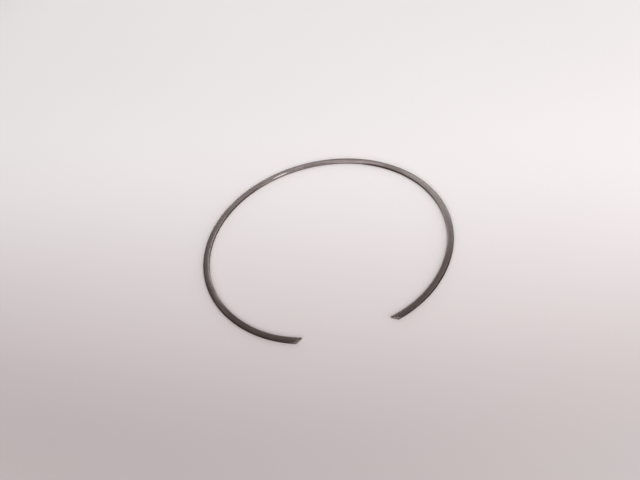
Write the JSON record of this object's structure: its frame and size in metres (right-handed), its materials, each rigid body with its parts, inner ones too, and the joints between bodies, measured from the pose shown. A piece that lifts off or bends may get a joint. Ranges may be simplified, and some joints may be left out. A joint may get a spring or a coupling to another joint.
{
  "type": "retaining ring",
  "caption": "Snap-in retaining ring: an open turn of flat spring-steel wire with rounded edges, a wide gap and slanted end cuts, to seat in a bore groove.",
  "frame": {"origin": "on the axis of the ring's round part, in the plane of its underside", "axes": "+Z along the ring's axis, away from the surface that it lies on; the gap between the ends is at -Y, and the plane of X = 0 mirrors one half onto the other"},
  "size_m": [0.12, 0.1147, 0.0012],
  "materials": {
    "spring_steel": "satin"
  },
  "bodies": {
    "root": {"retaining_ring": "spring_steel"}
  },
  "joints": []
}
